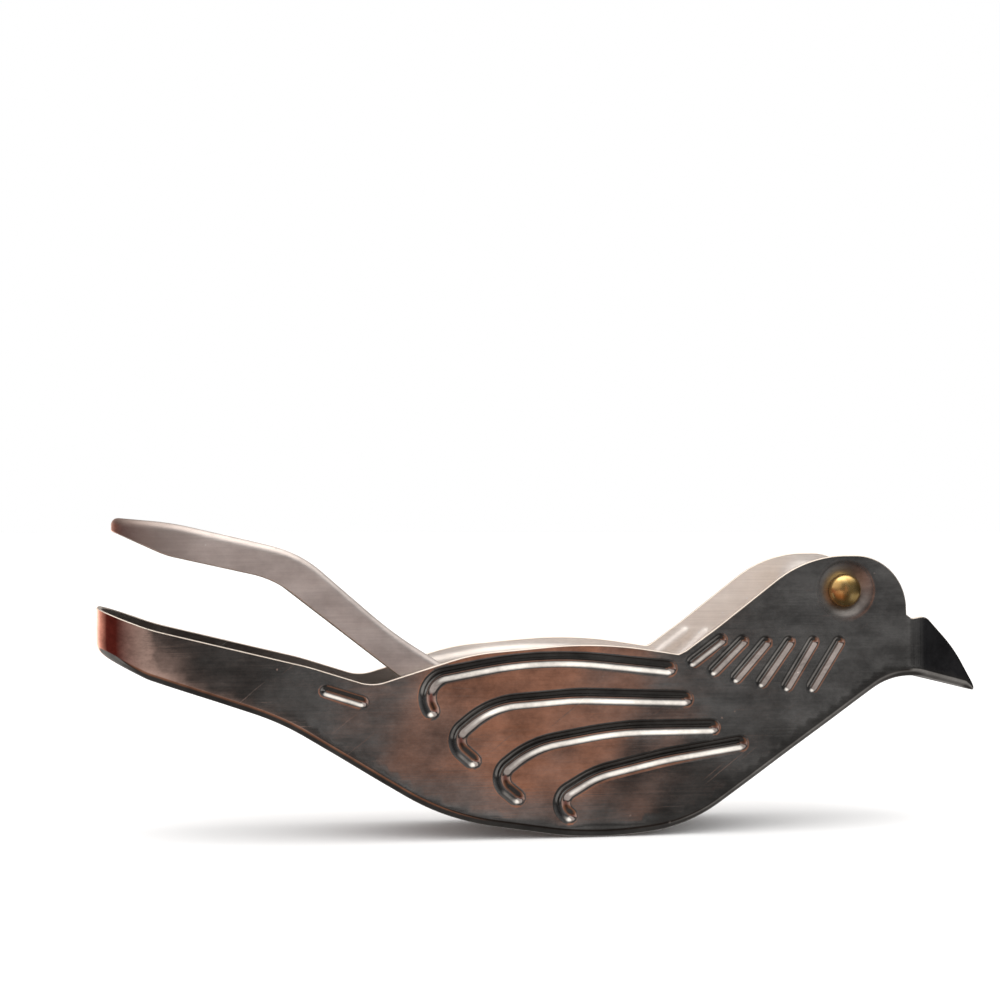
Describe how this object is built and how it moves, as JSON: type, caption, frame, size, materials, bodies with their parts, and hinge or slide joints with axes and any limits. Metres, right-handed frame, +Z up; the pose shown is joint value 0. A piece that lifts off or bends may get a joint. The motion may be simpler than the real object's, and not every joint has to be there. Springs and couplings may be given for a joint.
{
  "type": "citrus squeezer",
  "caption": "Bird-shaped hand citrus squeezer of thin stainless sheet: open trough with a beak spout and tail handle, and a press lever riveted through the eyes.",
  "frame": {"origin": "on the surface that the belly rests on, under the middle of the overall length and width", "axes": "+X from the tail to the beak, +Z up, Y along the pivot through the eyes"},
  "size_m": [0.1303, 0.022, 0.0453],
  "materials": {
    "trough_steel": "polished",
    "lever_steel": "satin",
    "brass": "polished"
  },
  "bodies": {
    "trough": {"bird_body": "trough_steel", "eye_rivet": "brass", "rivet_cap": "brass"},
    "lever": {"press_lever": "lever_steel"}
  },
  "joints": [
    {"name": "pivot", "type": "hinge", "parent": "trough", "child": "lever", "pos_m": [0.0417, 0, 0.0348], "axis": [0, 1, 0], "range_deg": [-7, 100]}
  ]
}
